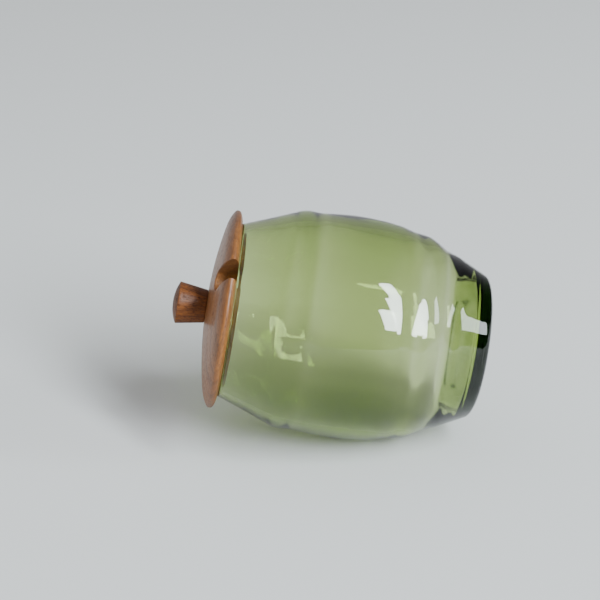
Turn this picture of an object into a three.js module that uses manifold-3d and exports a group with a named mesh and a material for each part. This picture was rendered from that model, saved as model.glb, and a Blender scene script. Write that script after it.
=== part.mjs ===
// A small barrel-shaped condiment jar: a moulded glass pot, a turned teak lid that sits
// in its mouth with a notch for a spoon, and a turned teak knob glued into the lid.
//
// Millimetres, +Z up along the jar's axis, origin at the middle of the base, notch at +Y.

import * as THREE from 'three';
import * as BufferGeometryUtils from 'three/addons/utils/BufferGeometryUtils.js';
import Module from 'manifold-3d';

const wasm = await Module();
wasm.setup();

// The glass pot.
const glass = {
  height: 82.4,
  footFlatRadius: 20.85,
  footCornerRadius: 3.4,
  footHollowRadius: 15,
  footHollowDepth: 0.8,
  taperAngle: 26,
  waistHeight: 15,
  waistReach: 4.5,
  waistDepth: 0.55,
  ridgeRadius: 33.35,
  ridgeHeight: 21.4,
  ridgeRounding: 1.2,
  bellyRadius: 36.5,
  bellyHeight: 44.5,
  bellyArcRadius: 85,
  hollowHeight: 26.5,
  hollowReach: 5,
  hollowDepth: 0.4,
  barrelTop: 54,
  valleyRadius: 35.5,
  valleyHeight: 57,
  shoulderRadius: 35.86,
  shoulderHeight: 60.9,
  shoulderArcRadius: 10.5,
  shoulderStartAngle: -5,
  neckAngle: 25,
  neckDraw: 0.15,
  mouthRadius: 28.6,
  lipRadius: 0.8,
  lipWall: 2.3,
  wall: 3.3,
  shoulderWall: 3.3,
  ridgeWall: 2.8,
  innerNeckHeight: 71.4,
  innerNeckDraw: 0.3,
  floorHeight: 4.8,
  floorKick: 0.8,
  floorCornerRadius: 4,
  segments: 48,
};

// The teak lid. Its underside rests on the glass lip.
const lid = {
  radius: 32.35,
  spigotRadius: 25.3,
  spigotDepth: 2.3,
  spigotChamfer: 0.5,
  undersideRadius: 28,
  rimRadius: 1.15,
  rimHeight: 1.6,
  rimLowerAngle: -60,
  rimUpperAngle: 55,
  domeRadius: 130,
  domeEdge: 26.5,
  domeSteps: 5,
  height: 7.45,
  knobHoleRadius: 3.3,
  knobHoleDepth: 7,
  notchWidth: 6.6,
  notchDepth: 14.3,
  segments: 56,
};

// The teak knob, with its tenon in the lid's blind hole.
const knob = {
  neckRadius: 5.4,
  headRadius: 6.8,
  headHeight: 9,
  headEdgeRadius: 0.35,
  domeRise: 1.45,
  domeFullness: 0.55,
  tenonRadius: 3,
  tenonLength: 6.4,
  segments: 32,
};

// Clearance between pieces that touch on the real jar.
const gap = 0.3;

const lidUnderside = glass.height + gap;
const lidTop = lidUnderside + lid.height;
const knobUnderside = lidTop + gap;

const degrees = THREE.MathUtils.degToRad;

// Points on an arc in the (radius, height) plane, angles in degrees from the +radius direction.
function arc(centreRadius, centreHeight, arcRadius, fromAngle, toAngle, steps) {
  return Array.from({ length: steps + 1 }, (_, i) => {
    const angle = degrees(THREE.MathUtils.lerp(fromAngle, toAngle, i / steps));
    return new THREE.Vector2(
      centreRadius + arcRadius * Math.cos(angle),
      centreHeight + arcRadius * Math.sin(angle),
    );
  });
}

const at = (radius, height) => new THREE.Vector2(radius, height);

const bezier = (a, control, b, steps) => new THREE.QuadraticBezierCurve(a, control, b).getPoints(steps);

// A smooth dip around a centre height: 1 at the centre, 0 beyond its reach.
function dip(height, centre, reach) {
  const away = Math.min(Math.abs(height - centre) / reach, 1);
  return Math.cos(away * Math.PI / 2) ** 2;
}

// Points of a wall whose radius is a function of height.
function wallPoints(radiusAt, fromHeight, toHeight, steps) {
  return Array.from({ length: steps + 1 }, (_, i) => {
    const height = THREE.MathUtils.lerp(fromHeight, toHeight, i / steps);
    return at(radiusAt(height), height);
  });
}

// A solid turned about the Z axis from an outline that runs from its lowest axis point
// to its highest one.
function turn(outline, segments) {
  const geometry = new THREE.LatheGeometry(outline, segments);
  geometry.rotateX(Math.PI / 2);
  return toSolid(geometry);
}

// A closed three.js geometry as a manifold solid, without its zero-area triangles.
function toSolid(geometry) {
  const bare = new THREE.BufferGeometry();
  bare.setAttribute('position', geometry.getAttribute('position'));
  bare.setIndex(geometry.getIndex());
  const merged = BufferGeometryUtils.mergeVertices(bare, 1e-4);
  const index = merged.getIndex().array;
  const triangles = [];
  for (let i = 0; i < index.length; i += 3) {
    const [a, b, c] = [index[i], index[i + 1], index[i + 2]];
    if (a !== b && b !== c && c !== a) triangles.push(a, b, c);
  }
  return new wasm.Manifold(new wasm.Mesh({
    numProp: 3,
    vertProperties: new Float32Array(merged.getAttribute('position').array),
    triVerts: new Uint32Array(triangles),
  }));
}

function toMesh(solid, name, material) {
  const { vertProperties, triVerts } = solid.getMesh();
  const geometry = new THREE.BufferGeometry();
  geometry.setAttribute('position', new THREE.BufferAttribute(vertProperties, 3));
  geometry.setIndex(new THREE.BufferAttribute(triVerts, 1));
  geometry.computeVertexNormals();
  const mesh = new THREE.Mesh(geometry, material);
  mesh.name = name;
  return mesh;
}

// The glass pot: thick foot, lower taper with a faint waist up to a soft ridge, a full
// barrel, a low shoulder ring and a neck that draws in to the open mouth.
function makeGlassJar() {
  const g = glass;
  const taper = degrees(g.taperAngle);
  const foot = arc(g.footFlatRadius, g.footCornerRadius, g.footCornerRadius, -90, -g.taperAngle, 6);
  const taperStart = foot[foot.length - 1];
  const taperAt = (height) => taperStart.x + (height - taperStart.y) * Math.tan(taper)
    - g.waistDepth * dip(height, g.waistHeight, g.waistReach);

  const bellyCentre = g.bellyRadius - g.bellyArcRadius;
  const barrelAt = (height) => bellyCentre
    + Math.sqrt(g.bellyArcRadius ** 2 - (height - g.bellyHeight) ** 2)
    - g.hollowDepth * dip(height, g.hollowHeight, g.hollowReach);

  const taperWall = wallPoints(taperAt, taperStart.y, g.ridgeHeight - g.ridgeRounding, 8);
  const barrel = wallPoints(barrelAt, g.ridgeHeight + g.ridgeRounding, g.barrelTop, 13);
  const ridge = bezier(taperWall[taperWall.length - 1], at(g.ridgeRadius, g.ridgeHeight), barrel[0], 3);
  const shoulder = arc(g.shoulderRadius - g.shoulderArcRadius, g.shoulderHeight, g.shoulderArcRadius,
    g.shoulderStartAngle, g.neckAngle, 6);
  const valley = bezier(barrel[barrel.length - 1], at(g.valleyRadius, g.valleyHeight), shoulder[0], 4);

  const neckStart = shoulder[shoulder.length - 1];
  const lipHeight = g.height - g.lipRadius;
  const neckControl = at(
    (neckStart.x + g.mouthRadius) / 2 - g.neckDraw,
    (neckStart.y + lipHeight) / 2,
  );

  const outside = [
    at(0, g.footHollowDepth),
    ...bezier(at(0, g.footHollowDepth), at(g.footHollowRadius * 0.8, g.footHollowDepth),
      at(g.footHollowRadius, 0), 3).slice(1),
    ...foot,
    ...taperWall.slice(1),
    ...ridge.slice(1),
    ...barrel.slice(1),
    ...valley.slice(1),
    ...shoulder.slice(1),
    ...bezier(neckStart, neckControl, at(g.mouthRadius, lipHeight), 5).slice(1),
  ];

  const lipOuter = arc(g.mouthRadius - g.lipRadius, lipHeight, g.lipRadius, 0, 90, 3).slice(1);
  const innerMouth = g.mouthRadius - g.lipWall;
  const lipInner = arc(innerMouth + g.lipRadius, lipHeight, g.lipRadius, 90, 180, 3);

  // Inside, the wall keeps about the same thickness down to a rounded floor.
  const innerBelly = g.bellyRadius - g.wall;
  const innerFloorRadius = taperStart.x - g.floorCornerRadius;
  const floorMiddle = at(0, g.floorHeight + g.floorKick);
  const floorCorner = arc(innerFloorRadius, g.floorHeight + g.floorCornerRadius, g.floorCornerRadius,
    -g.taperAngle, -90, 6);
  const inside = [
    ...new THREE.SplineCurve([
      at(innerMouth, lipHeight),
      at((innerMouth + innerBelly) / 2 - g.innerNeckDraw, g.innerNeckHeight),
      at(g.shoulderRadius - g.shoulderWall, g.shoulderHeight),
      at(innerBelly, g.bellyHeight),
      at(g.ridgeRadius - g.ridgeWall, g.ridgeHeight),
    ]).getPoints(14).slice(1),
    ...floorCorner,
    ...bezier(floorCorner[floorCorner.length - 1], at(innerFloorRadius / 2, floorMiddle.y),
      floorMiddle, 2).slice(1),
  ];

  const material = new THREE.MeshStandardMaterial({
    color: 0x8f9b55,
    roughness: 0.08,
    metalness: 0,
    transparent: true,
    opacity: 0.5,
  });
  return toMesh(turn([...outside, ...lipOuter, ...lipInner, ...inside], g.segments),
    'glass_jar', material);
}

// A straight cutter for the spoon notch: a slot with a round inner end, open past the rim.
function makeNotchCutter() {
  const half = lid.notchWidth / 2;
  const innerCentre = lid.radius - lid.notchDepth + half;
  const outline = new THREE.Shape();
  outline.moveTo(half, innerCentre);
  outline.lineTo(half, lid.radius + half);
  outline.lineTo(-half, lid.radius + half);
  outline.lineTo(-half, innerCentre);
  outline.absarc(0, innerCentre, half, Math.PI, 2 * Math.PI, false);
  const depth = lid.spigotDepth + lid.height + 2;
  const geometry = new THREE.ExtrudeGeometry(outline, { depth, bevelEnabled: false, curveSegments: 16 });
  geometry.translate(0, 0, lidUnderside - lid.spigotDepth - 1);
  return toSolid(geometry);
}

// The lid: a shallow spigot below, a thin rounded rim and a low dome above.
function makeLid() {
  const spigotBottom = lidUnderside - lid.spigotDepth;
  const domeCentre = lidTop - lid.domeRadius;
  const domeAt = (radius) => domeCentre + Math.sqrt(lid.domeRadius ** 2 - radius ** 2);
  const rim = arc(lid.radius - lid.rimRadius, lidUnderside + lid.rimHeight, lid.rimRadius,
    lid.rimLowerAngle, lid.rimUpperAngle, 5);
  const rimLower = rim[0];
  const rimUpper = rim[rim.length - 1];

  // The underside sweeps up to the rim, and the rim rolls over into the dome.
  const undersideControl = at(
    rimLower.x + (rimLower.y - lidUnderside) * Math.tan(degrees(lid.rimLowerAngle)),
    lidUnderside,
  );
  const underside = bezier(at(lid.undersideRadius, lidUnderside), undersideControl, rimLower, 3);
  const domeEdge = at(lid.domeEdge, domeAt(lid.domeEdge));
  const domeSlope = -lid.domeEdge / (domeEdge.y - domeCentre);
  const rollSlope = -1 / Math.tan(degrees(lid.rimUpperAngle));
  const rollRadius = (rimUpper.y - domeEdge.y + domeSlope * domeEdge.x - rollSlope * rimUpper.x)
    / (domeSlope - rollSlope);
  const rollControl = at(rollRadius, domeEdge.y + domeSlope * (rollRadius - domeEdge.x));
  const roll = bezier(rimUpper, rollControl, domeEdge, 4);
  const dome = Array.from({ length: lid.domeSteps }, (_, i) => {
    const radius = THREE.MathUtils.lerp(lid.domeEdge, lid.knobHoleRadius, (i + 1) / lid.domeSteps);
    return at(radius, domeAt(radius));
  });
  const holeBottom = lidTop - lid.knobHoleDepth;

  const body = turn([
    at(0, spigotBottom),
    at(lid.spigotRadius - lid.spigotChamfer, spigotBottom),
    at(lid.spigotRadius, spigotBottom + lid.spigotChamfer),
    at(lid.spigotRadius, lidUnderside),
    ...underside,
    ...rim.slice(1),
    ...roll.slice(1),
    ...dome,
    at(lid.knobHoleRadius, holeBottom),
    at(0, holeBottom),
  ], lid.segments);

  const material = new THREE.MeshStandardMaterial({ color: 0x8a5a34, roughness: 0.42, metalness: 0 });
  return toMesh(body.subtract(makeNotchCutter()), 'lid', material);
}

// The knob: narrow where it meets the lid, wider at its softly domed top.
function makeKnob() {
  const edgeTop = knobUnderside + knob.headHeight;
  const middle = at(0, edgeTop + knob.domeRise);
  const tenonBottom = knobUnderside - knob.tenonLength - gap;
  const crownRadius = knob.headRadius - knob.headEdgeRadius;
  const crown = bezier(at(crownRadius, edgeTop), at(crownRadius * knob.domeFullness, middle.y), middle, 5);

  const body = turn([
    at(0, tenonBottom),
    at(knob.tenonRadius, tenonBottom),
    at(knob.tenonRadius, knobUnderside),
    at(knob.neckRadius, knobUnderside),
    ...arc(crownRadius, edgeTop - knob.headEdgeRadius, knob.headEdgeRadius, 0, 90, 3),
    ...crown.slice(1),
  ], knob.segments);

  const material = new THREE.MeshStandardMaterial({ color: 0x7a431c, roughness: 0.4, metalness: 0 });
  return toMesh(body, 'knob', material);
}

const jar = new THREE.Group();
const liftOffLid = new THREE.Group();
liftOffLid.add(makeLid(), makeKnob());
jar.add(makeGlassJar(), liftOffLid);

export default jar;
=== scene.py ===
import math

import bmesh
import bpy
from mathutils import Matrix, Vector


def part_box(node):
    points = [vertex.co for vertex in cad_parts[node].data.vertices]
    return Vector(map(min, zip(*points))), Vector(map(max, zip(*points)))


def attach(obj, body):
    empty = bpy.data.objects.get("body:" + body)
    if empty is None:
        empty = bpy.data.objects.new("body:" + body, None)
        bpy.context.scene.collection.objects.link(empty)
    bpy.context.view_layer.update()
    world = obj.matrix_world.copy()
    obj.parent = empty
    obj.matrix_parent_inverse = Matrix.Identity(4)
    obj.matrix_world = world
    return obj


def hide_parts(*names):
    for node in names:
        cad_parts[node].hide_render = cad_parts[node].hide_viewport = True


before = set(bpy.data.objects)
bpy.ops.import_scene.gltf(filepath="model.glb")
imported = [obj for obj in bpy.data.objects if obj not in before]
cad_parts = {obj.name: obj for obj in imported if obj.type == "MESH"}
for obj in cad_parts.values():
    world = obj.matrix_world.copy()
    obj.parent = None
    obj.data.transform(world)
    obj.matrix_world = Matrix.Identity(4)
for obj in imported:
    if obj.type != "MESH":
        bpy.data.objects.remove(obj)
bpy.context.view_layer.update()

mm = 0.001

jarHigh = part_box("glass_jar")[1]
lidLow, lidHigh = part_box("lid")
knobLow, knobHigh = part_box("knob")


# small helpers for turned outlines

def arcPoints(centre, radius, fromDeg, toDeg, steps):
    # points on an arc in the (radius, height) plane
    points = []
    for i in range(steps + 1):
        a = math.radians(fromDeg + (toDeg - fromDeg) * i / steps)
        points.append((centre[0] + radius * math.cos(a), centre[1] + radius * math.sin(a)))
    return points


def linePoints(a, b, steps):
    return [(a[0] + (b[0] - a[0]) * i / steps, a[1] + (b[1] - a[1]) * i / steps)
            for i in range(1, steps)]


def softCurve(a, control, b, steps):
    # a quadratic curve from a to b, without its two ends
    points = []
    for i in range(1, steps):
        t = i / steps
        points.append(tuple((1 - t) ** 2 * a[k] + 2 * t * (1 - t) * control[k] + t * t * b[k]
                            for k in range(2)))
    return points


def splinePoints(knots, steps):
    # a smooth curve through every knot, steps points for each stretch
    ends = [knots[0]] + list(knots) + [knots[-1]]
    points = []
    for i in range(1, len(ends) - 2):
        p0, p1, p2, p3 = ends[i - 1:i + 3]
        for j in range(steps):
            t = j / steps
            points.append(tuple(0.5 * (2 * p1[k] + (p2[k] - p0[k]) * t
                                       + (2 * p0[k] - 5 * p1[k] + 4 * p2[k] - p3[k]) * t * t
                                       + (3 * p1[k] - p0[k] - 3 * p2[k] + p3[k]) * t ** 3)
                                for k in range(2)))
    return points + [knots[-1]]


def outlineObject(name, points):
    # the outline as loose points, in order, for the spinning tree to read
    mesh = bpy.data.meshes.new(name)
    mesh.from_pydata([(r, 0, z) for r, z in points], [], [])
    holder = bpy.data.objects.new(name, mesh)
    bpy.context.scene.collection.objects.link(holder)
    return holder


def plainMesh(source, name):
    # the evaluated result as a plain mesh object at the origin
    bpy.context.view_layer.update()
    graph = bpy.context.evaluated_depsgraph_get()
    mesh = bpy.data.meshes.new_from_object(source.evaluated_get(graph))
    mesh.name = name
    piece = bpy.data.objects.new(name, mesh)
    bpy.context.scene.collection.objects.link(piece)
    return piece


# one Geometry Nodes tree spins every turned piece

def nodeIn(tree, kind, **settings):
    node = tree.nodes.new(kind)
    for key, value in settings.items():
        setattr(node, key, value)
    return node


def calc(tree, operation, a, b=None):
    node = nodeIn(tree, "ShaderNodeMath", operation=operation)
    for socket, value in zip(node.inputs, (a, b)):
        if value is None:
            continue
        if isinstance(value, (int, float)):
            socket.default_value = value
        else:
            tree.links.new(value, socket)
    return node.outputs[0]


def buildSpinTree():
    tree = bpy.data.node_groups.new("spinOutline", "GeometryNodeTree")
    face = tree.interface
    face.new_socket("Outline", in_out="INPUT", socket_type="NodeSocketObject")
    face.new_socket("Steps Around", in_out="INPUT", socket_type="NodeSocketInt")
    face.new_socket("Ripple Depth", in_out="INPUT", socket_type="NodeSocketFloat")
    face.new_socket("Ripple Size", in_out="INPUT", socket_type="NodeSocketFloat")
    face.new_socket("Ripple Stretch", in_out="INPUT", socket_type="NodeSocketFloat")
    face.new_socket("Seed", in_out="INPUT", socket_type="NodeSocketFloat")
    face.new_socket("Material", in_out="INPUT", socket_type="NodeSocketMaterial")
    face.new_socket("Geometry", in_out="OUTPUT", socket_type="NodeSocketGeometry")
    link = tree.links.new
    given = nodeIn(tree, "NodeGroupInput").outputs

    outline = nodeIn(tree, "GeometryNodeObjectInfo")
    link(given["Outline"], outline.inputs["Object"])
    count = nodeIn(tree, "GeometryNodeAttributeDomainSize")
    link(outline.outputs["Geometry"], count.inputs[0])

    # a sheet with one column of points for each step round the axis
    sheet = nodeIn(tree, "GeometryNodeMeshGrid")
    link(calc(tree, "ADD", given["Steps Around"], 1), sheet.inputs["Vertices X"])
    link(count.outputs["Point Count"], sheet.inputs["Vertices Y"])
    index = nodeIn(tree, "GeometryNodeInputIndex").outputs[0]
    row = calc(tree, "MODULO", index, count.outputs["Point Count"])
    column = calc(tree, "FLOOR", calc(tree, "DIVIDE", index, count.outputs["Point Count"]))

    onOutline = nodeIn(tree, "GeometryNodeSampleIndex", data_type="FLOAT_VECTOR", domain="POINT")
    link(outline.outputs["Geometry"], onOutline.inputs["Geometry"])
    link(nodeIn(tree, "GeometryNodeInputPosition").outputs[0], onOutline.inputs["Value"])
    link(row, onOutline.inputs["Index"])
    parts = nodeIn(tree, "ShaderNodeSeparateXYZ")
    link(onOutline.outputs[0], parts.inputs[0])

    angle = calc(tree, "MULTIPLY", calc(tree, "DIVIDE", column, given["Steps Around"]), 2 * math.pi)
    spun = nodeIn(tree, "ShaderNodeCombineXYZ")
    link(calc(tree, "MULTIPLY", parts.outputs["X"], calc(tree, "COSINE", angle)), spun.inputs["X"])
    link(calc(tree, "MULTIPLY", parts.outputs["X"], calc(tree, "SINE", angle)), spun.inputs["Y"])
    link(parts.outputs["Z"], spun.inputs["Z"])
    place = nodeIn(tree, "GeometryNodeSetPosition")
    link(sheet.outputs["Mesh"], place.inputs["Geometry"])
    link(spun.outputs[0], place.inputs["Position"])
    weld = nodeIn(tree, "GeometryNodeMergeByDistance")
    link(place.outputs[0], weld.inputs["Geometry"])
    weld.inputs["Distance"].default_value = 1e-6

    # a slow ripple that only ever sinks into the piece, so its size holds
    stretch = nodeIn(tree, "ShaderNodeCombineXYZ")
    stretch.inputs["X"].default_value = 1
    stretch.inputs["Y"].default_value = 1
    link(given["Ripple Stretch"], stretch.inputs["Z"])
    where = nodeIn(tree, "ShaderNodeVectorMath", operation="MULTIPLY")
    link(nodeIn(tree, "GeometryNodeInputPosition").outputs[0], where.inputs[0])
    link(stretch.outputs[0], where.inputs[1])
    noise = nodeIn(tree, "ShaderNodeTexNoise", noise_dimensions="4D")
    link(where.outputs[0], noise.inputs["Vector"])
    link(given["Seed"], noise.inputs["W"])
    link(calc(tree, "DIVIDE", 1, given["Ripple Size"]), noise.inputs["Scale"])
    noise.inputs["Detail"].default_value = 1.5
    inward = calc(tree, "MULTIPLY", given["Ripple Depth"], -1)
    depth = calc(tree, "MULTIPLY", noise.outputs["Fac"], inward)
    push = nodeIn(tree, "ShaderNodeVectorMath", operation="SCALE")
    link(nodeIn(tree, "GeometryNodeInputNormal").outputs[0], push.inputs[0])
    link(depth, push.inputs["Scale"])
    ripple = nodeIn(tree, "GeometryNodeSetPosition")
    link(weld.outputs[0], ripple.inputs["Geometry"])
    link(push.outputs[0], ripple.inputs["Offset"])

    smooth = nodeIn(tree, "GeometryNodeSetShadeSmooth")
    link(ripple.outputs[0], smooth.inputs["Geometry"])
    real = nodeIn(tree, "GeometryNodeRealizeInstances")
    link(smooth.outputs[0], real.inputs[0])
    finish = nodeIn(tree, "GeometryNodeSetMaterial")
    link(real.outputs[0], finish.inputs["Geometry"])
    link(given["Material"], finish.inputs["Material"])
    link(finish.outputs[0], nodeIn(tree, "NodeGroupOutput").inputs[0])
    return tree


spinTree = buildSpinTree()


def spin(name, points, steps, material, ripple=(0.0, 1.0, 1.0, 0.0)):
    # turns an outline into a closed mesh about the jar's axis
    outline = outlineObject(name + "Outline", points)
    maker = bpy.data.objects.new(name + "Maker", bpy.data.meshes.new(name + "Maker"))
    bpy.context.scene.collection.objects.link(maker)
    modifier = maker.modifiers.new("spin", "NODES")
    modifier.node_group = spinTree
    sockets = {item.name: item.identifier for item in spinTree.interface.items_tree
               if item.in_out == "INPUT"}
    names = ("Ripple Depth", "Ripple Size", "Ripple Stretch", "Seed")
    values = dict(zip(names, map(float, ripple)))
    values.update({"Outline": outline, "Steps Around": steps, "Material": material})
    for socketName, value in values.items():
        modifier[sockets[socketName]] = value
    piece = plainMesh(maker, name)
    for scrap in (maker, outline):
        bpy.data.objects.remove(scrap)
    return piece


# shared wood group: growth rings, fibres and pores of teak

grainShape = {
    "pith": (-46.0, 30.0),     # mm across and up to the middle of the tree
    "wander": 22.0,            # mm the rings stray from round
    "ringDepth": 0.35,
    "poreShow": 0.6,
    "endShow": 0.55,
}


def buildWoodGroup():
    # Vector comes in millimetres with the grain along X
    tree = bpy.data.node_groups.new("teakGrain", "ShaderNodeTree")
    face = tree.interface
    face.new_socket("Vector", in_out="INPUT", socket_type="NodeSocketVector")
    for name in ("Pale Wood", "Mid Wood", "Dark Wood"):
        face.new_socket(name, in_out="INPUT", socket_type="NodeSocketColor")
    for name in ("Ring Spacing", "Pore Depth", "Gloss", "End Grain"):
        face.new_socket(name, in_out="INPUT", socket_type="NodeSocketFloat")
    face.new_socket("Color", in_out="OUTPUT", socket_type="NodeSocketColor")
    face.new_socket("Roughness", in_out="OUTPUT", socket_type="NodeSocketFloat")
    face.new_socket("Height", in_out="OUTPUT", socket_type="NodeSocketFloat")
    link = tree.links.new
    given = nodeIn(tree, "NodeGroupInput").outputs

    def scaled(along, across):
        node = nodeIn(tree, "ShaderNodeVectorMath", operation="MULTIPLY")
        link(given["Vector"], node.inputs[0])
        node.inputs[1].default_value = (along, across, across)
        return node.outputs[0]

    def noise(vector, scale, detail, roughness=0.5):
        node = nodeIn(tree, "ShaderNodeTexNoise")
        link(vector, node.inputs["Vector"])
        node.inputs["Scale"].default_value = scale
        node.inputs["Detail"].default_value = detail
        node.inputs["Roughness"].default_value = roughness
        return node.outputs["Fac"]

    def window(value, low, high, toLow=0.0, toHigh=1.0):
        node = nodeIn(tree, "ShaderNodeMapRange", interpolation_type="SMOOTHSTEP")
        link(value, node.inputs["Value"])
        node.inputs["From Min"].default_value = low
        node.inputs["From Max"].default_value = high
        node.inputs["To Min"].default_value = toLow
        node.inputs["To Max"].default_value = toHigh
        return node.outputs["Result"]

    def blendColor(factor, a, b, kind="MIX"):
        node = nodeIn(tree, "ShaderNodeMix", data_type="RGBA", blend_type=kind)
        link(factor, node.inputs["Factor"])
        link(a, node.inputs[6])
        link(b, node.inputs[7])
        return node.outputs[2]

    # rings round a pith line that lies off to one side, bent by a slow wander
    split = nodeIn(tree, "ShaderNodeSeparateXYZ")
    link(given["Vector"], split.inputs[0])
    wander = noise(scaled(0.25, 1.0), 0.045, 2.0)
    pithAcross, pithUp = grainShape["pith"]
    side = calc(tree, "ADD", split.outputs["Y"], -pithAcross)
    rise = calc(tree, "ADD", split.outputs["Z"], -pithUp)
    reach = calc(tree, "SQRT", calc(tree, "ADD", calc(tree, "MULTIPLY", side, side),
                                    calc(tree, "MULTIPLY", rise, rise)))
    reach = calc(tree, "ADD", reach, calc(tree, "MULTIPLY", wander, grainShape["wander"]))
    ring = calc(tree, "FRACT", calc(tree, "DIVIDE", reach, given["Ring Spacing"]))
    lateWood = calc(tree, "MULTIPLY", window(ring, 0.25, 0.93), window(ring, 0.94, 1.0, 1.0, 0.0))

    fibre = noise(scaled(0.045, 1.0), 1.9, 3.0, 0.6)
    fineFibre = noise(scaled(0.09, 1.0), 5.2, 2.0)
    cloud = noise(scaled(0.3, 1.0), 0.07, 2.0)
    pores = window(noise(scaled(0.28, 1.0), 3.1, 1.0), 0.56, 0.66)
    poreShare = window(noise(scaled(0.2, 1.0), 0.35, 1.0), 0.35, 0.6, 0.35, 1.0)
    pores = calc(tree, "MULTIPLY", pores, poreShare)

    tone = blendColor(window(fibre, 0.3, 0.7), given["Pale Wood"], given["Mid Wood"])
    rings = calc(tree, "MULTIPLY", lateWood, grainShape["ringDepth"])
    tone = blendColor(rings, tone, given["Dark Wood"])
    tone = blendColor(window(cloud, 0.3, 0.75, 0.0, 0.35), tone, given["Mid Wood"], "MULTIPLY")
    tone = blendColor(window(fineFibre, 0.35, 0.75, 0.0, 0.3), tone, given["Dark Wood"])
    dashes = calc(tree, "MULTIPLY", pores, grainShape["poreShow"])
    tone = blendColor(dashes, tone, given["Dark Wood"])
    ends = calc(tree, "MULTIPLY", given["End Grain"], grainShape["endShow"])
    tone = blendColor(ends, tone, given["Dark Wood"])

    gloss = calc(tree, "ADD", given["Gloss"], calc(tree, "MULTIPLY", fibre, 0.12))
    gloss = calc(tree, "ADD", gloss, calc(tree, "MULTIPLY", pores, 0.2))
    relief = calc(tree, "SUBTRACT", calc(tree, "MULTIPLY", fineFibre, 0.25), pores)
    height = calc(tree, "MULTIPLY", relief, given["Pore Depth"])
    out = nodeIn(tree, "NodeGroupOutput")
    link(tone, out.inputs["Color"])
    link(gloss, out.inputs["Roughness"])
    link(height, out.inputs["Height"])
    return tree


woodGroup = buildWoodGroup()


def newMaterial(name):
    material = bpy.data.materials.new(name)
    material.use_nodes = True
    tree = material.node_tree
    tree.nodes.clear()
    shader = nodeIn(tree, "ShaderNodeBsdfPrincipled")
    out = nodeIn(tree, "ShaderNodeOutputMaterial")
    tree.links.new(shader.outputs[0], out.inputs["Surface"])
    return material, tree, shader, out


teakFinish = {
    "relief": 0.8,
    "oilRoughness": 0.2,
}


def teak(name, look):
    # oiled teak; look gives the grain's direction, colours and finish
    material, tree, shader, out = newMaterial(name)
    link = tree.links.new
    place = nodeIn(tree, "ShaderNodeMapping")
    link(nodeIn(tree, "ShaderNodeTexCoord").outputs["Object"], place.inputs["Vector"])
    place.inputs["Scale"].default_value = (1 / mm,) * 3
    place.inputs["Rotation"].default_value = [math.radians(a) for a in look["grainTurn"]]
    place.inputs["Location"].default_value = look["grainShift"]
    grain = nodeIn(tree, "ShaderNodeGroup", node_tree=woodGroup)
    link(place.outputs[0], grain.inputs["Vector"])

    # cut ends of the grain drink more oil and come out darker
    turned = nodeIn(tree, "ShaderNodeMapping", vector_type="VECTOR")
    link(nodeIn(tree, "ShaderNodeTexCoord").outputs["Normal"], turned.inputs["Vector"])
    turned.inputs["Rotation"].default_value = [math.radians(a) for a in look["grainTurn"]]
    facing = nodeIn(tree, "ShaderNodeSeparateXYZ")
    link(turned.outputs[0], facing.inputs[0])
    squared = calc(tree, "POWER", facing.outputs["X"], 2.0)
    link(calc(tree, "MULTIPLY", squared, look["endGrain"]), grain.inputs["End Grain"])
    for socketName in ("Pale Wood", "Mid Wood", "Dark Wood"):
        grain.inputs[socketName].default_value = (*look[socketName], 1)
    grain.inputs["Ring Spacing"].default_value = look["ringSpacing"]
    grain.inputs["Pore Depth"].default_value = look["poreDepth"]
    grain.inputs["Gloss"].default_value = look["gloss"]
    bump = nodeIn(tree, "ShaderNodeBump")
    bump.inputs["Strength"].default_value = teakFinish["relief"]
    bump.inputs["Distance"].default_value = mm
    link(grain.outputs["Height"], bump.inputs["Height"])
    link(grain.outputs["Color"], shader.inputs["Base Color"])
    link(grain.outputs["Roughness"], shader.inputs["Roughness"])
    link(bump.outputs[0], shader.inputs["Normal"])
    shader.inputs["Specular IOR Level"].default_value = look["sheen"]
    shader.inputs["Coat Weight"].default_value = look["oil"]
    shader.inputs["Coat Roughness"].default_value = teakFinish["oilRoughness"]
    return material


# glass jar

jar = {
    "footFlatRadius": 20.85 * mm,
    "footCornerRadius": 3.4 * mm,
    "hollowRadius": 15 * mm,
    "hollowDepth": 0.8 * mm,
    "hollowFullness": 0.8,
    "taperAngle": 26,
    "waist": (15 * mm, 4.5 * mm, 0.55 * mm),        # height, reach, depth of the dip in the taper
    "ridge": (33.35 * mm, 21.4 * mm),               # radius, height
    "ridgeRounding": 1.1 * mm,
    "bellyHeight": 44.5 * mm,
    "bellyArcRadius": 85 * mm,
    "bellyHollow": (26.5 * mm, 5 * mm, 0.4 * mm),   # height, reach, depth of the dip over the ridge
    "barrelTop": 54 * mm,
    "valley": (35.5 * mm, 57 * mm),                 # radius, height
    "shoulderHeight": 60.9 * mm,
    "shoulderRadius": 35.86 * mm,
    "shoulderArcRadius": 10.5 * mm,
    "shoulderStartAngle": -5,
    "neckAngle": 25,
    "neckDraw": 0.15 * mm,
    "mouthRadius": 28.6 * mm,
    "lipRadius": 0.8 * mm,
    "lipWall": 2.3 * mm,
    "wall": 3.3 * mm,
    "shoulderWall": 3.3 * mm,
    "ridgeWall": 2.8 * mm,
    "innerNeckHeight": 71.4 * mm,
    "innerNeckDraw": 0.3 * mm,
    "floorHeight": 4.8 * mm,
    "floorKick": 0.8 * mm,
    "floorCornerRadius": 4 * mm,
    "stepsAround": 180,
    "ripple": (0.16 * mm, 15 * mm, 0.6, 3.0),       # depth, size, stretch along the axis, seed
    "bend": 1.5,                                    # refractive index
    "tint": (0.575, 0.697, 0.13),
    "tintDensity": 335,
}


def dip(height, shape):
    # how far a wall sinks at a height, for a dip of (middle height, reach, depth)
    middle, reach, depth = shape
    away = min(abs(height - middle) / reach, 1)
    return depth * math.cos(away * math.pi / 2) ** 2


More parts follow.
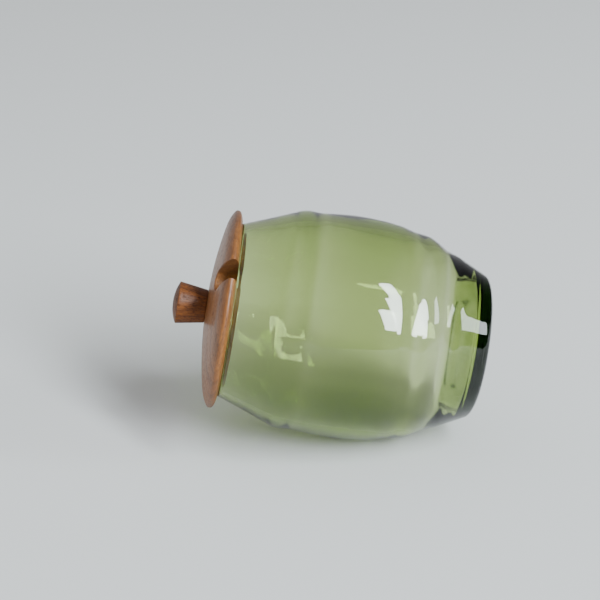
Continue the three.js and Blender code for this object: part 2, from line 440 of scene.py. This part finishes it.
def wallPoints(radiusAt, low, high, steps):
    heights = (low + (high - low) * i / steps for i in range(steps + 1))
    return [(radiusAt(height), height) for height in heights]


def glassOutline():
    j = jar
    lipHeight = jarHigh.z - j["lipRadius"]
    bellyRadius = jarHigh.x
    taper = math.radians(j["taperAngle"])
    footCentre = (j["footFlatRadius"], j["footCornerRadius"])
    foot = arcPoints(footCentre, j["footCornerRadius"], -90, -j["taperAngle"], 12)
    taperStart = foot[-1]
    ridgeRadius, ridgeHeight = j["ridge"]

    def taperAt(height):
        return taperStart[0] + (height - taperStart[1]) * math.tan(taper) - dip(height, j["waist"])

    def barrelAt(height):
        reach = j["bellyArcRadius"]
        return (bellyRadius - reach + math.sqrt(reach ** 2 - (height - j["bellyHeight"]) ** 2)
                - dip(height, j["bellyHollow"]))

    taperWall = wallPoints(taperAt, taperStart[1], ridgeHeight - j["ridgeRounding"], 26)
    barrel = wallPoints(barrelAt, ridgeHeight + j["ridgeRounding"], j["barrelTop"], 40)
    shoulderCentre = (j["shoulderRadius"] - j["shoulderArcRadius"], j["shoulderHeight"])
    shoulder = arcPoints(shoulderCentre, j["shoulderArcRadius"],
                         j["shoulderStartAngle"], j["neckAngle"], 14)
    mouth = (j["mouthRadius"], lipHeight)
    neckControl = ((shoulder[-1][0] + mouth[0]) / 2 - j["neckDraw"],
                   (shoulder[-1][1] + mouth[1]) / 2)
    hollowEdge = (j["hollowRadius"], 0)

    outside = [(0, j["hollowDepth"])]
    hollowControl = (j["hollowRadius"] * j["hollowFullness"], j["hollowDepth"])
    outside += softCurve(outside[0], hollowControl, hollowEdge, 10)
    outside += [hollowEdge] + linePoints(hollowEdge, foot[0], 3) + foot + taperWall[1:]
    outside += softCurve(taperWall[-1], j["ridge"], barrel[0], 6) + barrel
    outside += softCurve(barrel[-1], j["valley"], shoulder[0], 6) + shoulder
    outside += softCurve(shoulder[-1], neckControl, mouth, 16)

    innerMouth = j["mouthRadius"] - j["lipWall"]
    innerBelly = bellyRadius - j["wall"]
    outerLip = arcPoints((mouth[0] - j["lipRadius"], lipHeight), j["lipRadius"], 0, 90, 6)
    innerLip = arcPoints((innerMouth + j["lipRadius"], lipHeight), j["lipRadius"], 90, 180, 6)
    floorCentre = (taperStart[0] - j["floorCornerRadius"], j["floorHeight"] + j["floorCornerRadius"])
    corner = arcPoints(floorCentre, j["floorCornerRadius"], -j["taperAngle"], -90, 16)
    knots = [innerLip[-1],
             ((innerMouth + innerBelly) / 2 - j["innerNeckDraw"], j["innerNeckHeight"]),
             (j["shoulderRadius"] - j["shoulderWall"], j["shoulderHeight"]),
             (innerBelly, j["bellyHeight"]),
             (ridgeRadius - j["ridgeWall"], ridgeHeight),
             corner[0]]
    floorMiddle = (0, j["floorHeight"] + j["floorKick"])
    inside = splinePoints(knots, 12)[1:] + corner[1:]
    floorControl = (floorCentre[0] / 2, floorMiddle[1])
    inside += softCurve(corner[-1], floorControl, floorMiddle, 8) + [floorMiddle]
    return outside + outerLip + innerLip + inside


def glassMaterial():
    # clear polished glass; the green is in the body of the glass, so thick parts are darker
    material, tree, shader, out = newMaterial("oliveGlass")
    shader.inputs["Base Color"].default_value = (1, 1, 1, 1)
    shader.inputs["Transmission Weight"].default_value = 1
    shader.inputs["Roughness"].default_value = 0.0
    shader.inputs["IOR"].default_value = jar["bend"]
    tint = nodeIn(tree, "ShaderNodeVolumeAbsorption")
    tint.inputs["Color"].default_value = (*jar["tint"], 1)
    tint.inputs["Density"].default_value = jar["tintDensity"]
    tree.links.new(tint.outputs[0], out.inputs["Volume"])
    return material


def buildJar():
    piece = spin("glassJar", glassOutline(), jar["stepsAround"], glassMaterial(), jar["ripple"])
    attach(piece, "jar")
    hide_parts("glass_jar")
    print("glass jar:", len(piece.data.polygons), "faces")
    return piece


# teak lid

lid = {
    "spigotRadius": 25.3 * mm,
    "spigotDepth": 2.3 * mm,
    "spigotEase": 0.5 * mm,
    "seat": 0.25 * mm,          # the underside comes this much closer to the glass lip
    "undersideRadius": 28 * mm,
    "rimRadius": 1.15 * mm,
    "rimHeight": 1.6 * mm,
    "rimLowerAngle": -60,
    "rimUpperAngle": 55,
    "domeRadius": 130 * mm,
    "domeEdge": 26.5 * mm,
    "holeRadius": 3.3 * mm,
    "holeDepth": 7 * mm,
    "notchWidth": 6.6 * mm,
    "notchDepth": 14.3 * mm,
    "notchEase": 0.35 * mm,
    "notchSideSteps": 36,
    "notchEndSteps": 24,
    "creaseAngle": 38,
    "stepsAround": 240,
    "grainTurn": (0, 0, 24),
    "grainShift": (7.0, 3.0, 11.0),
    "Pale Wood": (0.34, 0.130, 0.026),
    "Mid Wood": (0.24, 0.080, 0.014),
    "Dark Wood": (0.065, 0.019, 0.004),
    "ringSpacing": 3.4,
    "poreDepth": 0.16,
    "endGrain": 1.0,
    "gloss": 0.40,
    "sheen": 0.42,
    "oil": 0.25,
}
lidUnderside = lidLow.z + lid["spigotDepth"]
lidRadius = lidHigh.x


def domeAt(radius):
    return lidHigh.z - lid["domeRadius"] + math.sqrt(lid["domeRadius"] ** 2 - radius ** 2)


def rimPoints():
    # from the flat underside round the rim and up to where the dome begins
    centre = (lidRadius - lid["rimRadius"], lidUnderside + lid["rimHeight"])
    rim = arcPoints(centre, lid["rimRadius"], lid["rimLowerAngle"], lid["rimUpperAngle"], 16)
    seat = lidUnderside - lid["seat"]
    start = (lid["undersideRadius"], seat)
    lower = rim[0]
    control = (lower[0] + (lower[1] - seat) * math.tan(math.radians(lid["rimLowerAngle"])), seat)
    points = [start] + softCurve(start, control, lower, 8) + rim
    edge = lid["domeEdge"]
    end = (edge, domeAt(edge))
    domeSlope = -edge / math.sqrt(lid["domeRadius"] ** 2 - edge ** 2)
    rollSlope = -1 / math.tan(math.radians(lid["rimUpperAngle"]))
    upper = rim[-1]
    meet = (upper[1] - end[1] + domeSlope * edge - rollSlope * upper[0]) / (domeSlope - rollSlope)
    roll = softCurve(upper, (meet, end[1] + domeSlope * (meet - edge)), end, 14) + [end]
    return points, roll


rimLower, rimRoll = rimPoints()


def lidSurface(radius):
    # height of the lid's upper face at a distance from the axis
    if radius <= lid["domeEdge"]:
        return domeAt(radius)
    outer = rimLower[-1]
    for (r, z) in rimRoll:
        if r <= radius:
            share = (radius - r) / (outer[0] - r) if outer[0] > r else 0
            return z + (outer[1] - z) * min(share, 1)
        outer = (r, z)
    return rimRoll[-1][1]


def lidOutline():
    bottom = lidLow.z
    spigot = lid["spigotRadius"]
    ease = lid["spigotEase"]
    seat = rimLower[0][1]
    outline = [(0, bottom)]
    outline += linePoints((0, bottom), (spigot - ease, bottom), 16)
    outline += arcPoints((spigot - ease, bottom + ease), ease, -90, 0, 5)
    outline += linePoints(outline[-1], (spigot, seat), 4) + [(spigot, seat)]
    outline += linePoints((spigot, seat), rimLower[0], 4) + rimLower + rimRoll
    steps = 34
    for i in range(1, steps + 1):
        radius = lid["domeEdge"] + (lid["holeRadius"] - lid["domeEdge"]) * i / steps
        outline.append((radius, domeAt(radius)))
    holeBottom = lidHigh.z - lid["holeDepth"]
    outline += linePoints(outline[-1], (lid["holeRadius"], holeBottom), 4)
    outline += [(lid["holeRadius"], holeBottom)]
    outline += linePoints((lid["holeRadius"], holeBottom), (0, holeBottom), 3) + [(0, holeBottom)]
    return outline


def notchCutter():
    # a U-shaped plug whose wall flares over the lid's upper face, so the cut edge is eased
    half = lid["notchWidth"] / 2
    sideSteps, endSteps = lid["notchSideSteps"], lid["notchEndSteps"]
    innerCentre = lidRadius - lid["notchDepth"] + half
    beyond = lidRadius + half
    path = []
    for i in range(sideSteps):
        path.append(((half, beyond - (beyond - innerCentre) * i / sideSteps), (1, 0)))
    for i in range(endSteps + 1):
        a = math.pi * i / endSteps
        path.append(((half * math.cos(a), innerCentre - half * math.sin(a)),
                     (math.cos(a), -math.sin(a))))
    for i in range(1, sideSteps + 1):
        path.append(((-half, innerCentre + (beyond - innerCentre) * i / sideSteps), (-1, 0)))
    ease = lid["notchEase"]
    levels = [(0, None)]
    for degrees in range(0, 80, 12):
        b = math.radians(degrees)
        levels.append((ease * (1 - math.cos(b)), ease * (math.sin(b) - 1)))
    levels += [(ease * 1.3, 0.3 * mm), (ease * 1.5, 4 * mm)]
    mesh = bmesh.new()
    rings = []
    for outset, lift in levels:
        ring = []
        for (x, y), (nx, ny) in path:
            px, py = x + nx * outset, y + ny * outset
            reach = min(math.hypot(px, py), rimLower[-1][0])
            height = lidLow.z - mm if lift is None else lidSurface(reach) + lift
            ring.append(mesh.verts.new((px, py, height)))
        rings.append(ring)
    count = len(path)
    for below, above in zip(rings, rings[1:]):
        for i in range(count):
            j = (i + 1) % count
            mesh.faces.new((below[i], below[j], above[j], above[i]))
    mesh.faces.new(rings[0])
    mesh.faces.new(rings[-1])
    bmesh.ops.triangulate(mesh, faces=[f for f in mesh.faces if len(f.verts) > 4])
    bmesh.ops.recalc_face_normals(mesh, faces=mesh.faces)
    data = bpy.data.meshes.new("notchCutter")
    mesh.to_mesh(data)
    mesh.free()
    cutter = bpy.data.objects.new("notchCutter", data)
    bpy.context.scene.collection.objects.link(cutter)
    return cutter


def buildLid():
    material = teak("lidTeak", lid)
    blank = spin("lidBlank", lidOutline(), lid["stepsAround"], material)
    cutter = notchCutter()
    cut = blank.modifiers.new("notch", "BOOLEAN")
    cut.object = cutter
    cut.operation = "DIFFERENCE"
    cut.solver = "EXACT"
    piece = plainMesh(blank, "teakLid")
    for scrap in (blank, cutter):
        bpy.data.objects.remove(scrap)
    piece.data.materials.clear()
    piece.data.materials.append(material)
    for polygon in piece.data.polygons:
        polygon.material_index = 0
        polygon.use_smooth = True
    piece.data.set_sharp_from_angle(angle=math.radians(lid["creaseAngle"]))
    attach(piece, "lid")
    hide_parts("lid")
    print("teak lid:", len(piece.data.polygons), "faces")
    return piece


# teak knob

knob = {
    "neckRadius": 5.4 * mm,
    "sink": 0.35 * mm,          # the neck comes this much below the gap, down to the lid
    "edgeRadius": 0.35 * mm,
    "domeRise": 1.45 * mm,
    "domeFullness": 0.55,
    "crownAngle": 78,
    "creaseAngle": 40,
    "headHeight": 9 * mm,
    "neckEase": 0.15 * mm,
    "tenonRadius": 3.0 * mm,
    "stepsAround": 128,
    "grainTurn": (0, 90, 0),
    "grainShift": (2.0, 5.0, 9.0),
    "Pale Wood": (0.27, 0.082, 0.012),
    "Mid Wood": (0.14, 0.039, 0.006),
    "Dark Wood": (0.040, 0.011, 0.003),
    "ringSpacing": 2.6,
    "poreDepth": 0.16,
    "endGrain": 0.3,
    "gloss": 0.44,
    "sheen": 0.3,
    "oil": 0.05,
}


def buildKnob():
    k = knob
    underside = knobHigh.z - k["domeRise"] - k["headHeight"] - k["sink"]
    edgeTop = knobHigh.z - k["domeRise"]
    head = knobHigh.x
    crown = head - k["edgeRadius"]
    outline = [(0, knobLow.z)] + linePoints((0, knobLow.z), (k["tenonRadius"], knobLow.z), 4)
    outline += [(k["tenonRadius"], knobLow.z)]
    outline += linePoints(outline[-1], (k["tenonRadius"], underside), 6)
    outline += [(k["tenonRadius"], underside)]
    outline += linePoints(outline[-1], (k["neckRadius"] - k["neckEase"], underside), 4)
    neckCentre = (k["neckRadius"] - k["neckEase"], underside + k["neckEase"])
    outline += arcPoints(neckCentre, k["neckEase"], -90, 0, 3)
    flankEnd = (head, edgeTop - k["edgeRadius"])
    outline += linePoints(outline[-1], flankEnd, 16)
    outline += arcPoints((crown, flankEnd[1]), k["edgeRadius"], 0, k["crownAngle"], 6)
    middle = (0, knobHigh.z)
    outline += softCurve(outline[-1], (crown * k["domeFullness"], knobHigh.z), middle, 18) + [middle]
    piece = spin("teakKnob", outline, k["stepsAround"], teak("knobTeak", k))
    piece.data.set_sharp_from_angle(angle=math.radians(k["creaseAngle"]))
    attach(piece, "lid")
    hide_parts("knob")
    print("teak knob:", len(piece.data.polygons), "faces")
    return piece


# camera: the jar lies on its side in the main view, lid to the left

view = {
    "distance": 589 * mm,
    "across": 58.36 * mm,      # the base's middle lies so far right of the middle of the view
    "below": 15.32 * mm,       # and so far below it
    "jarTilt": 8.5,            # degrees the base end lies lower than the lid end
    "jarLean": 4.2,            # degrees the lid end leans towards the camera
    "notchTurn": 24,           # degrees from the camera's side of the lid up to the notch
    "fieldOfView": 18.97,
}


def buildCamera():
    tilt, lean, turn = (math.radians(view[key]) for key in ("jarTilt", "jarLean", "notchTurn"))
    jarUp = Vector((-math.cos(tilt) * math.cos(lean),
                    math.sin(tilt) * math.cos(lean),
                    math.sin(lean)))
    towards = (Vector((0, 0, 1)) - jarUp * jarUp.z).normalized()
    upper = jarUp.cross(towards)
    north = towards * math.cos(turn) + upper * math.sin(turn)
    rotation = Matrix((north.cross(jarUp), north, jarUp))
    base = Vector((view["across"], -view["below"], -view["distance"]))
    data = bpy.data.cameras.new("mainCamera")
    data.lens_unit = "FOV"
    data.angle = math.radians(view["fieldOfView"])
    data.clip_end = 20
    camera = bpy.data.objects.new("mainCamera", data)
    bpy.context.scene.collection.objects.link(camera)
    camera.matrix_world = Matrix.Translation(-(rotation @ base)) @ rotation.to_4x4()
    bpy.context.scene.camera = camera
    return camera


camera = buildCamera()
print("camera:", view["fieldOfView"], "degrees")
viewTurn = camera.matrix_world.to_3x3()


def fromView(right, up):
    # a direction from the jar, so many degrees right of and above the camera's
    r, u = math.radians(right), math.radians(up)
    seen = Vector((math.sin(r) * math.cos(u), math.sin(u), math.cos(r) * math.cos(u)))
    return (viewTurn @ seen).normalized()


# stage: pale ground the lying jar rests on, and soft light

stage = {
    "restTilt": 10,            # degrees between the jar's axis and the ground it lies on
    "clearFrom": 0.97,         # how squarely the main view is met before the upright floor vanishes
    "solidFrom": 0.92,
    "groundTurn": 110,         # degrees round the jar from the camera to the ground
    "groundColor": (0.67, 0.665, 0.65),
    "groundSize": 3.0,
    "floorColor": (0.40, 0.40, 0.39),
    "floorGlow": 0.4,
    "skyColor": (0.80, 0.82, 0.85),
    "skyStrength": 0.75,
    "deepStrength": 0.04,      # light from straight under the jar
    "deepFrom": -0.7,          # the soft light fades out between these slopes below the jar
    "deepTo": -0.05,
}


def stageMaterial():
    # one-sided, and it lets lamp light through, so it never shades the jar's far side
    material, tree, shader, out = newMaterial("paleGround")
    link = tree.links.new
    shader.inputs["Base Color"].default_value = (*stage["groundColor"], 1)
    shader.inputs["Roughness"].default_value = 0.9
    shader.inputs["Specular IOR Level"].default_value = 0.1
    clear = nodeIn(tree, "ShaderNodeBsdfTransparent")
    path = nodeIn(tree, "ShaderNodeLightPath")
    back = nodeIn(tree, "ShaderNodeNewGeometry").outputs["Backfacing"]
    passes = calc(tree, "MAXIMUM", back, path.outputs["Is Shadow Ray"])
    mix = nodeIn(tree, "ShaderNodeMixShader")
    link(passes, mix.inputs[0])
    link(shader.outputs[0], mix.inputs[1])
    link(clear.outputs[0], mix.inputs[2])
    link(mix.outputs[0], out.inputs["Surface"])
    return material


def buildGround():
    tilt = math.radians(stage["restTilt"])
    cameraAt = camera.matrix_world.translation
    around = math.atan2(cameraAt.y, cameraAt.x) - math.radians(stage["groundTurn"])
    down = Vector((math.cos(around) * math.cos(tilt),
                   math.sin(around) * math.cos(tilt),
                   -math.sin(tilt)))
    bellyCentre = jarHigh.x - jar["bellyArcRadius"]
    reach = bellyCentre * math.cos(tilt) - jar["bellyHeight"] * math.sin(tilt) + jar["bellyArcRadius"]
    long = Vector((0, 0, 1)) - down * down.z
    long.normalize()
    wide = down.cross(long)
    middle = down * (reach + 0.1 * mm)
    half = stage["groundSize"] / 2
    signs = ((-1, -1), (-1, 1), (1, 1), (1, -1))
    corners = [middle + long * half * a + wide * half * b for a, b in signs]
    mesh = bpy.data.meshes.new("ground")
    mesh.from_pydata(corners, [], [(0, 1, 2, 3)])
    if mesh.polygons[0].normal.dot(down) > 0:
        mesh.flip_normals()
    ground = bpy.data.objects.new("ground", mesh)
    bpy.context.scene.collection.objects.link(ground)
    mesh.materials.append(stageMaterial())


def floorMaterial():
    # the upright floor shows from every side but the main view, where the jar lies down
    material, tree, shader, out = newMaterial("uprightFloor")
    link = tree.links.new
    shader.inputs["Base Color"].default_value = (*stage["floorColor"], 1)
    shader.inputs["Emission Color"].default_value = (*stage["skyColor"], 1)
    shader.inputs["Emission Strength"].default_value = stage["floorGlow"]
    shader.inputs["Roughness"].default_value = 0.9
    shader.inputs["Specular IOR Level"].default_value = 0.1
    clear = nodeIn(tree, "ShaderNodeBsdfTransparent")
    geometry = nodeIn(tree, "ShaderNodeNewGeometry")
    square = nodeIn(tree, "ShaderNodeVectorMath", operation="DOT_PRODUCT")
    link(geometry.outputs["Incoming"], square.inputs[0])
    square.inputs[1].default_value = camera.matrix_world.translation.normalized()
    fade = nodeIn(tree, "ShaderNodeMapRange", interpolation_type="SMOOTHSTEP")
    link(square.outputs["Value"], fade.inputs["Value"])
    fade.inputs["From Min"].default_value = stage["solidFrom"]
    fade.inputs["From Max"].default_value = stage["clearFrom"]
    mix = nodeIn(tree, "ShaderNodeMixShader")
    hidden = calc(tree, "MAXIMUM", geometry.outputs["Backfacing"], fade.outputs["Result"])
    link(hidden, mix.inputs[0])
    link(shader.outputs[0], mix.inputs[1])
    link(clear.outputs[0], mix.inputs[2])
    link(mix.outputs[0], out.inputs["Surface"])
    return material


def buildUprightFloor():
    half = stage["groundSize"] / 2
    mesh = bpy.data.meshes.new("uprightFloor")
    corners = [(-half, -half, 0), (half, -half, 0), (half, half, 0), (-half, half, 0)]
    mesh.from_pydata(corners, [], [(0, 1, 2, 3)])
    mesh.materials.append(floorMaterial())
    floor = bpy.data.objects.new("uprightFloor", mesh)
    bpy.context.scene.collection.objects.link(floor)
    floor.visible_diffuse = False
    floor.visible_glossy = False
    floor.visible_transmission = False
    floor.visible_shadow = False


def buildSky():
    world = bpy.data.worlds.new("softSky")
    bpy.context.scene.world = world
    world.use_nodes = True
    tree = world.node_tree
    tree.nodes.clear()
    link = tree.links.new
    split = nodeIn(tree, "ShaderNodeSeparateXYZ")
    link(nodeIn(tree, "ShaderNodeTexCoord").outputs["Generated"], split.inputs[0])
    deep = nodeIn(tree, "ShaderNodeMapRange", interpolation_type="SMOOTHSTEP")
    link(split.outputs["Z"], deep.inputs["Value"])
    deep.inputs["From Min"].default_value = stage["deepFrom"]
    deep.inputs["From Max"].default_value = stage["deepTo"]
    deep.inputs["To Min"].default_value = stage["deepStrength"]
    deep.inputs["To Max"].default_value = stage["skyStrength"]
    sky = nodeIn(tree, "ShaderNodeBackground")
    sky.inputs["Color"].default_value = (*stage["skyColor"], 1)
    path = nodeIn(tree, "ShaderNodeLightPath")
    strength = nodeIn(tree, "ShaderNodeMix", data_type="FLOAT")
    link(path.outputs["Is Camera Ray"], strength.inputs[0])
    link(deep.outputs["Result"], strength.inputs[2])
    strength.inputs[3].default_value = stage["skyStrength"]
    link(strength.outputs[0], sky.inputs["Strength"])
    link(sky.outputs[0], nodeIn(tree, "ShaderNodeOutputWorld").inputs["Surface"])


softboxes = [
    # name, degrees right of the camera, degrees above it, degrees wide, degrees high, brightness
    ("windowTop", 35.5, 37.8, 5.7, 14.6, 45),
    ("windowMiddle", 34.3, 13.3, 9.4, 34, 45),
    ("windowSide", 26.8, 9.6, 6.5, 20, 45),
    ("windowFar", 70, 17, 11, 22, 16),
]
softboxDistance = 3.0
softboxColor = (0.86, 0.95, 1.0)


def buildLights():
    aim = Vector((0, 0, jar["bellyHeight"]))
    upright = viewTurn @ Vector((0, 1, 0))
    for name, right, up, wide, high, brightness in softboxes:
        data = bpy.data.lights.new(name, "AREA")
        data.shape = "RECTANGLE"
        data.size = 2 * softboxDistance * math.tan(math.radians(wide / 2))
        data.size_y = 2 * softboxDistance * math.tan(math.radians(high / 2))
        data.color = softboxColor
        data.energy = brightness * math.pi * data.size * data.size_y
        light = bpy.data.objects.new(name, data)
        bpy.context.scene.collection.objects.link(light)
        away = fromView(right, up)
        across = upright.cross(away).normalized()
        facing = Matrix((across, away.cross(across), away)).transposed().to_4x4()
        light.matrix_world = Matrix.Translation(aim + away * softboxDistance) @ facing


buildJar()
buildLid()
buildKnob()
buildGround()
buildUprightFloor()
print("stage: ground and upright floor")
buildSky()
buildLights()
print("light: soft sky and", len(softboxes), "window panes")
